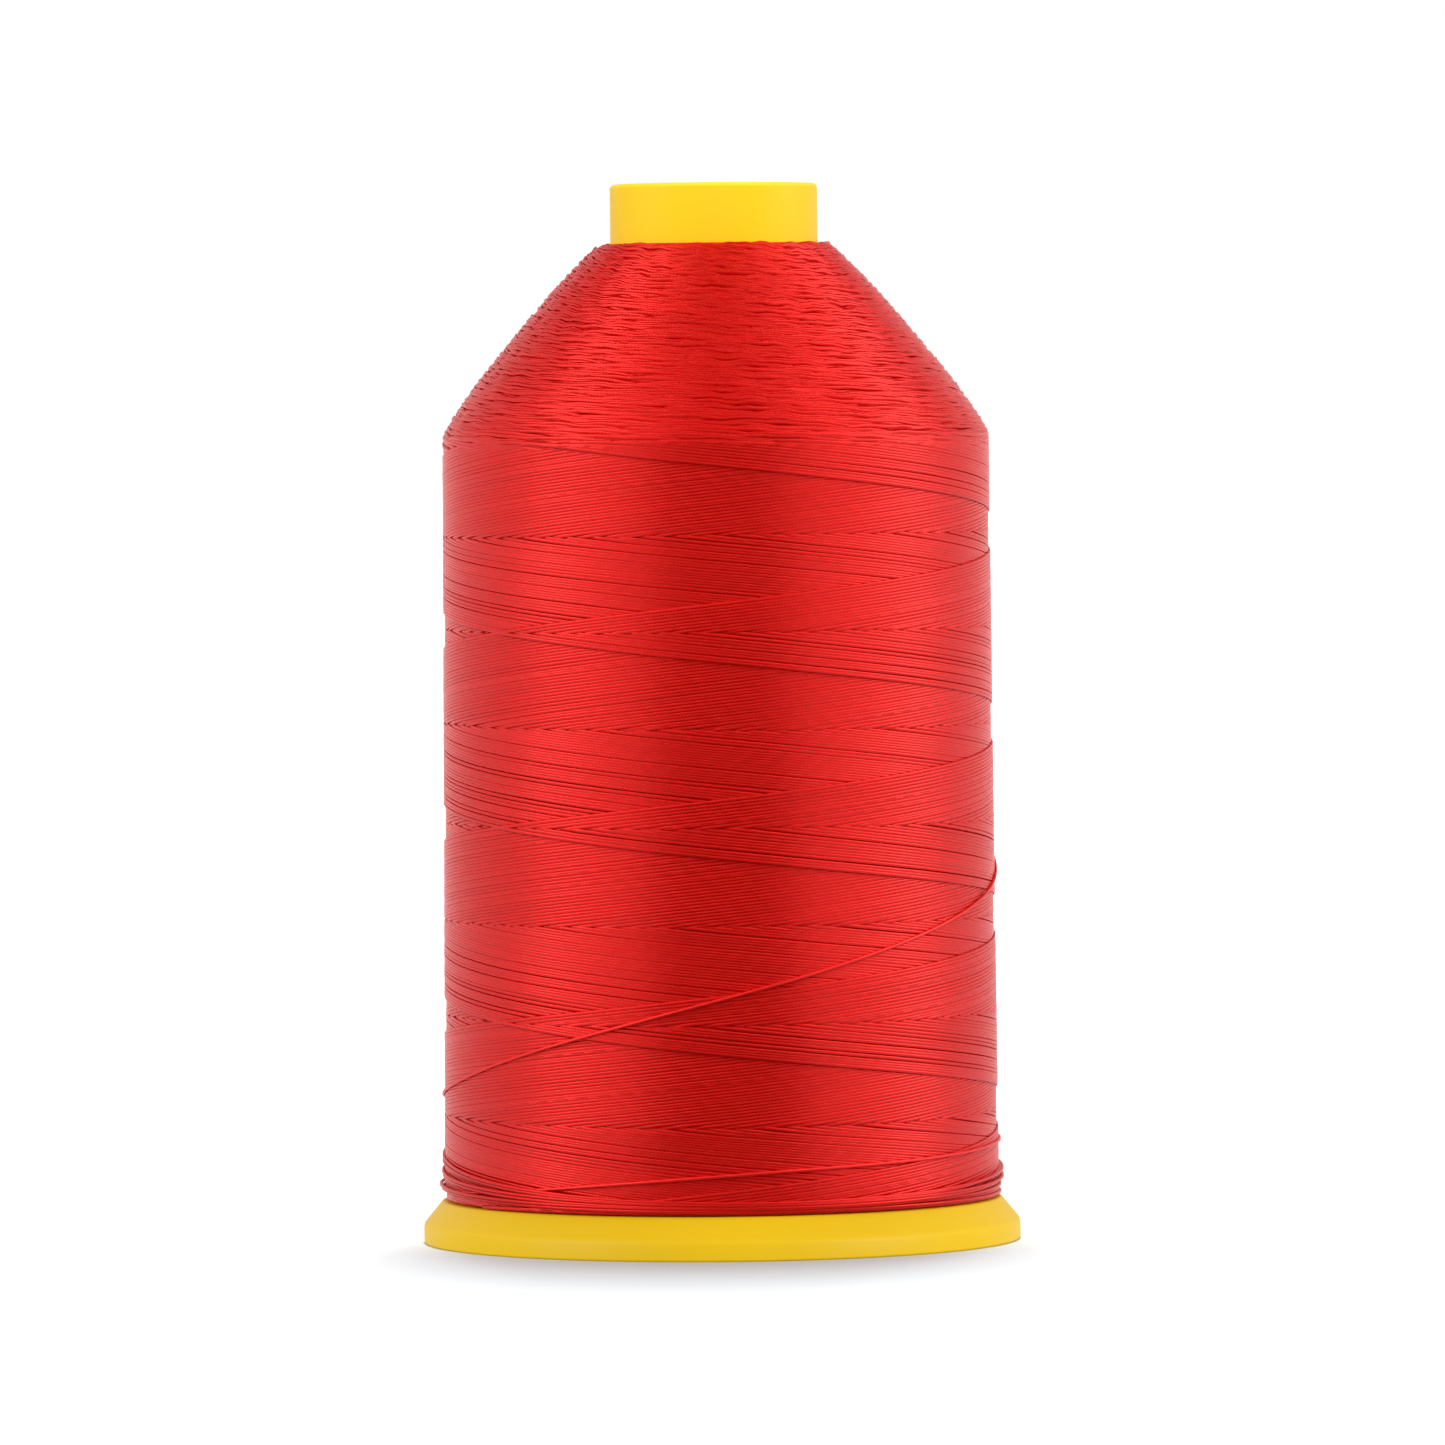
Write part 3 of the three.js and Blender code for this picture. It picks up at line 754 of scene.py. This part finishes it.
def make_loose_end():
    """The thread's end. It comes from behind the right side and is laid over the winding, a
    little more than one and a half turns, down to the foot."""
    degrees, heights = np.array(LOOSE_KNOTS, float).T
    fine = np.arange(degrees[0], degrees[-1] - 1, -LOOSE_STEP)
    level = np.interp(-fine, -degrees, heights)
    before = level[0] + (level[0] - level[1]) * np.arange(LOOSE_ROUNDING, 0, -1)
    after = np.full(LOOSE_ROUNDING, level[-1])
    level = moving_mean(np.concatenate([before, level, after]), LOOSE_ROUNDING)
    azimuths = np.radians(fine)
    radii = resting_radii(azimuths, level, LOOSE_SPAN)
    radii[:LOOSE_TUCK_STEPS] -= LOOSE_TUCK * np.arange(LOOSE_TUCK_STEPS, 0, -1)
    lay(azimuths, level, radii, LOOSE_WIDTH, LOOSE_DEPTH)
    route = on_package(azimuths, level, radii)
    mesh = strand_mesh("loose_end", route[None], LOOSE_CELLS, 1, LOOSE_WIDTH, LOOSE_DEPTH)
    # The loose end is coloured lighter than the rest of the same thread: painted light.
    piece = add_piece(mesh, LOOSE_RED_PAINTED_LIGHT)
    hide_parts("thread_loose_end")


def make_foot_turns():
    """Slack turns just above the foot, which lie close together at the front and part behind."""
    low_spread, climb_spread = FOOT_TURN_SPREADS
    low = np.linspace(*FOOT_TURN_LOW, FOOT_TURNS + 1)
    low += rng.uniform(-low_spread, low_spread, FOOT_TURNS + 1)
    climb = np.linspace(*FOOT_TURN_CLIMB, FOOT_TURNS)
    climb += rng.uniform(-climb_spread, climb_spread, FOOT_TURNS)
    aside = rng.uniform(-FOOT_TURN_ASIDE, FOOT_TURN_ASIDE, FOOT_TURNS)
    share = np.arange(FOOT_TURN_STEPS + 1) / FOOT_TURN_STEPS
    azimuths = FOOT_TURN_START - TAU * share
    parts = []
    for turn in range(FOOT_TURNS):
        heights = lerp(low[turn], low[turn + 1], share * share * (3 - 2 * share))
        bend = TAU * share + aside[turn] * np.sin(math.pi * share) ** 2
        heights += climb[turn] * (1 - np.cos(bend)) / 2
        radii = resting_radii(azimuths, heights, FOOT_TURN_SPAN)
        radii = np.minimum(radii, package_radius(heights) + FOOT_TURN_LIMIT)
        lay(azimuths, heights, radii, LOOSE_WIDTH, LOOSE_DEPTH)
        parts.append(np.stack([azimuths, heights, radii], 1)[:-1])
    half = FOOT_TURN_STEPS // 2
    azimuths, heights, radii = np.concatenate(parts)[half : -half + 1].T
    padded = np.pad(radii, FOOT_TURN_SMOOTHING, mode="edge")
    radii = moving_mean(padded, FOOT_TURN_SMOOTHING)
    route = on_package(azimuths, heights, radii)
    cells = FOOT_TURN_CELLS * (FOOT_TURNS - 1)
    mesh = strand_mesh("foot_turns", route[None], cells, 1, LOOSE_WIDTH, LOOSE_DEPTH)
    add_piece(mesh, RED)


make_loose_end()
make_foot_turns()

# ---- Stage: floor, background, lights and camera ----

# In metres and degrees
FLOOR_HALF = 12.0
FLOOR_GLOW = 0.14  # of the floor next to the spool, where it is seen
FLOOR_GLOW_FROM, FLOOR_GLOW_TO = 0.1, 1.2  # distances between which that becomes 1
ARCH_RADIUS = 1.9
ARCH_HALF_WIDTH = 1.0
ARCH_ASIDE = 0.1
ARCH_FROM, ARCH_TO = 1, 150  # angles over the floor in front
ARCH_ROWS = 25
ARCH_NEAR = 0.035  # distance from the spool's axis at which the strip begins
ARCH_LIFT = 0.0005  # of that edge above the floor
WORLD_LIGHT_BELOW, WORLD_LIGHT_ABOVE = 0.26, 0.46
LIGHTS_AIM = 0.05  # height that the lights face

# In millimetres and degrees
CAMERA_DISTANCE = 1080.0
CAMERA_HEIGHT = 81.0
TARGET_HEIGHT = 51.0
CAMERA_ASIDE = 0.44
CAMERA_ROLL = -0.5
FRAME_WIDTH = 142.3  # that the picture spans at the spool's axis
SENSOR_WIDTH = 36


def seen_directly(tree):
    """1 for camera, glossy and transmission rays, which see the white background, and else 0."""
    rays = add_node(tree, "ShaderNodeLightPath")
    seen = rays.outputs["Is Camera Ray"]
    for kind in ("Is Glossy Ray", "Is Transmission Ray"):
        either = add_node(tree, "ShaderNodeMath", operation="MAXIMUM")
        link_all(tree, (seen, either.inputs[0]), (rays.outputs[kind], either.inputs[1]))
        seen = either.outputs["Value"]
    return seen


def make_floor():
    """A pale floor that is white where it is seen, apart from the spool's shadow."""
    mesh = bpy.data.meshes.new("floor")
    corners = [(x * FLOOR_HALF, y * FLOOR_HALF, 0) for x, y in ((-1, -1), (1, -1), (1, 1), (-1, 1))]
    mesh.from_pydata(corners, [], [(0, 1, 2, 3)])
    material, tree, shader = new_material("floor")
    set_inputs(shader, {
        "Base Color": (0.57, 0.61, 0.62, 1),
        "Roughness": 0.9,
        "Specular IOR Level": 0,
        "Emission Color": (1, 1, 1, 1),
    })
    place = add_node(tree, "ShaderNodeTexCoord").outputs["Object"]
    distance = add_node(tree, "ShaderNodeVectorMath", operation="LENGTH")
    glow = add_node(tree, "ShaderNodeMapRange", interpolation_type="SMOOTHSTEP")
    set_inputs(glow, {"From Min": FLOOR_GLOW_FROM, "From Max": FLOOR_GLOW_TO})
    set_inputs(glow, {"To Min": FLOOR_GLOW, "To Max": 1.0})
    shown = add_node(tree, "ShaderNodeMath", operation="MULTIPLY")
    link_all(
        tree,
        (place, distance.inputs[0]),
        (distance.outputs["Value"], glow.inputs["Value"]),
        (glow.outputs["Result"], shown.inputs[0]),
        (seen_directly(tree), shown.inputs[1]),
        (shown.outputs["Value"], shader.inputs["Emission Strength"]),
    )
    mesh.materials.append(material)
    floor = add_object("floor", mesh)
    floor.visible_diffuse = False
    floor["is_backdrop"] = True
    return floor


def make_dark_arch():
    """A dark strip over the floor in front of the spool and then over its top, which the
    thread's sheen shows as its dark middle. It widens up to the arch. Only reflections see it:
    it is no part of the background or the light."""
    mesh = bpy.data.meshes.new("dark_arch")
    angles = np.radians(np.linspace(ARCH_FROM, ARCH_TO, ARCH_ROWS))
    rows = [(1, -ARCH_RADIUS * math.cos(a), ARCH_RADIUS * math.sin(a)) for a in angles]
    rows.insert(0, (ARCH_NEAR / ARCH_RADIUS, -ARCH_NEAR, ARCH_LIFT))
    vertices = [
        ((side * ARCH_HALF_WIDTH + ARCH_ASIDE) * widening, y, z)
        for side in (-1, 1)
        for widening, y, z in rows
    ]
    count = len(rows)
    mesh.from_pydata(vertices, [], [(i, i + 1, i + count + 1, i + count) for i in range(count - 1)])
    material, _, shader = new_material("dark_arch")
    set_inputs(shader, {"Base Color": (0.03, 0.03, 0.03, 1), "Specular IOR Level": 0})
    mesh.materials.append(material)
    arch = add_object("dark_arch", mesh)
    arch.visible_camera = False
    arch.visible_diffuse = False
    arch.visible_shadow = False
    arch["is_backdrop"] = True


def make_world():
    """White where it is seen, and else a plain light that grows from below to above."""
    world = bpy.data.worlds.new("studio")
    bpy.context.scene.world = world
    world.use_nodes = True
    tree = world.node_tree
    background = tree.nodes["Background"]
    set_inputs(background, {"Color": (1, 1, 1, 1)})
    split = add_node(tree, "ShaderNodeSeparateXYZ")
    light = add_node(tree, "ShaderNodeMapRange", interpolation_type="SMOOTHSTEP")
    set_inputs(light, {"From Min": -1.0, "From Max": 1.0})
    set_inputs(light, {"To Min": WORLD_LIGHT_BELOW, "To Max": WORLD_LIGHT_ABOVE})
    level = add_node(tree, "ShaderNodeMapRange")
    set_inputs(level, {"To Max": 1.0})
    link_all(
        tree,
        (add_node(tree, "ShaderNodeTexCoord").outputs["Generated"], split.inputs["Vector"]),
        (split.outputs["Z"], light.inputs["Value"]),
        (light.outputs["Result"], level.inputs["To Min"]),
        (seen_directly(tree), level.inputs["Value"]),
        (level.outputs["Result"], background.inputs["Strength"]),
    )


def roll(degrees):
    """A turn about an object's own axis of view or of light."""
    return Matrix.Rotation(math.radians(degrees), 4, "Z").to_quaternion()


def make_light(name, azimuth, elevation, distance, size, power, tilt=0, in_gloss=True, lights=None):
    """A soft light that faces the middle of the spool from that azimuth and elevation. It is
    tilted about its own axis, in degrees too, and lights only a collection if one is given."""
    light = bpy.data.lights.new(name, "AREA")
    light.shape = "RECTANGLE"
    light.size, light.size_y = size
    light.energy = power
    lamp = add_object(name, light)
    a, e = math.radians(azimuth), math.radians(elevation)
    towards = Vector((math.sin(a) * math.cos(e), -math.cos(a) * math.cos(e), math.sin(e)))
    lamp.location = Vector((0, 0, LIGHTS_AIM)) + towards * distance
    lamp.rotation_mode = "QUATERNION"
    lamp.rotation_quaternion = towards.to_track_quat("Z", "Y") @ roll(tilt)
    lamp.visible_camera = False
    lamp.visible_glossy = in_gloss
    lamp.light_linking.receiver_collection = lights


def receivers(name, objects):
    collection = bpy.data.collections.new(name)
    for thing in objects:
        collection.objects.link(thing)
    return collection


def make_camera():
    """The photograph's view: from a little above the middle, leaning by half a degree."""
    camera = add_object("camera", bpy.data.cameras.new("camera"))
    camera.data.sensor_width = SENSOR_WIDTH
    camera.data.lens = SENSOR_WIDTH * CAMERA_DISTANCE / FRAME_WIDTH
    camera.data.clip_start, camera.data.clip_end = 0.05, 50
    place = Vector((CAMERA_ASIDE, -CAMERA_DISTANCE, CAMERA_HEIGHT)) * MM
    target = Vector((CAMERA_ASIDE, 0, TARGET_HEIGHT)) * MM
    camera.location = place
    camera.rotation_mode = "QUATERNION"
    camera.rotation_quaternion = (target - place).to_track_quat("-Z", "Y") @ roll(CAMERA_ROLL)
    bpy.context.scene.camera = camera


bpy.context.scene.view_settings.view_transform = "Standard"
floor = make_floor()
make_world()
make_dark_arch()
foot = [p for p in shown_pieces() if p.name == "spool_foot"]
barrel = [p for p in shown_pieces() if p.name == "spool_barrel"]
thread = [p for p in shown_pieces() if p not in foot + barrel]
all_but_foot = receivers("lit_front", barrel + thread)
thread_only = receivers("lit_thread", thread)
barrel_only = receivers("lit_barrel", barrel)
foot_only = receivers("lit_foot", foot)
floor_only = receivers("lit_floor", [floor])
make_light("left_softbox", -64, 42, 0.62, (0.25, 1.0), 2.75, tilt=-22, lights=all_but_foot)
make_light("right_softbox", 78, 41, 0.62, (0.3, 1.0), 3.45, tilt=27, lights=all_but_foot)
make_light("front_fill", 4, 19, 0.3, (0.22, 0.22), 0.66, in_gloss=False, lights=thread_only)
make_light("barrel_fill", 4, 34, 0.3, (0.22, 0.22), 0.4, in_gloss=False, lights=barrel_only)
make_light("foot_left", -58, 6, 0.65, (0.3, 0.3), 2.45, lights=foot_only)
make_light("foot_right", 62, 6, 0.65, (0.3, 0.3), 3.0, lights=foot_only)
make_light("floor_light", 176, 73, 1.6, (0.5, 1.1), 42, in_gloss=False, lights=floor_only)
make_camera()

bpy.context.view_layer.update()
